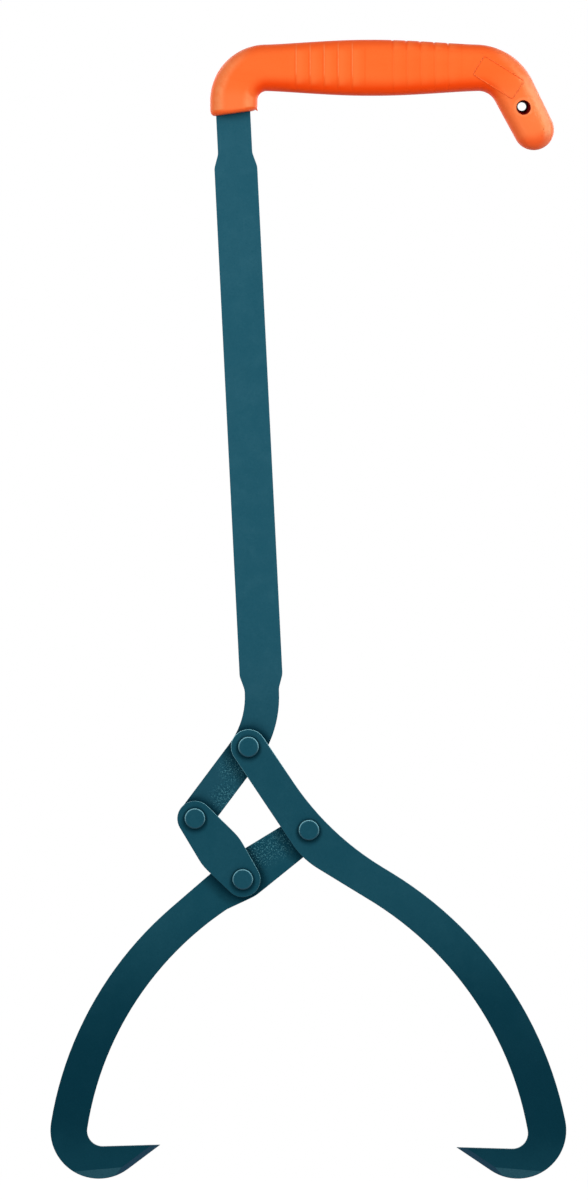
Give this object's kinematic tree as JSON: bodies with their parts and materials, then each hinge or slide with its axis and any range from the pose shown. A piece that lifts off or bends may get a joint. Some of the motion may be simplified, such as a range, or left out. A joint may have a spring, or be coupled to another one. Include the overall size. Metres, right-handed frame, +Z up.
{
  "type": "log tongs",
  "caption": "Long-handled log tongs: a cranked flat-steel handle bar with a moulded grip, and pointed hook arms that a linkage closes when the grip is pulled.",
  "frame": {"origin": "centre of the hanging hole in the tail of the handle, in the middle of the handle bar's thickness", "axes": "+X to the right with the tongs held upright and seen from the side that the top rivet's arm lies on, +Y to the back through the plates, +Z up along the handle"},
  "size_m": [0.3001, 0.025, 0.6628],
  "materials": {
    "painted_steel": "satin dark blue-green coating",
    "grip_plastic": "matt orange moulding"
  },
  "bodies": {
    "handle": {"handle_bar": "painted_steel", "grip": "grip_plastic", "top_rivet": "painted_steel", "link_upper_rivet": "painted_steel"},
    "right_jaw": {"right_arm": "painted_steel", "cross_rivet": "painted_steel"},
    "left_jaw": {"left_arm": "painted_steel"},
    "linkage": {"link": "painted_steel", "link_lower_rivet": "painted_steel"}
  },
  "joints": [
    {"name": "top_pivot", "type": "hinge", "parent": "handle", "child": "right_jaw", "pos_m": [-0.15903, -0.0026, -0.37263], "axis": [0, -1, 0], "range_deg": [-47, 34]},
    {"name": "cross_pivot", "type": "hinge", "parent": "right_jaw", "child": "left_jaw", "pos_m": [-0.12388, -0.0026, -0.42101], "axis": [0, -1, 0], "range_deg": [-34, 47]},
    {"name": "link_pivot", "type": "hinge", "parent": "handle", "child": "linkage", "pos_m": [-0.19018, -0.0026, -0.41427], "axis": [0, -1, 0], "range_deg": [-60.4, 43.7]}
  ],
  "couplings": [
    {"joint": "cross_pivot", "follows": "top_pivot", "ratio": -0.9981},
    {"joint": "link_pivot", "follows": "top_pivot", "ratio": 1.2827}
  ]
}
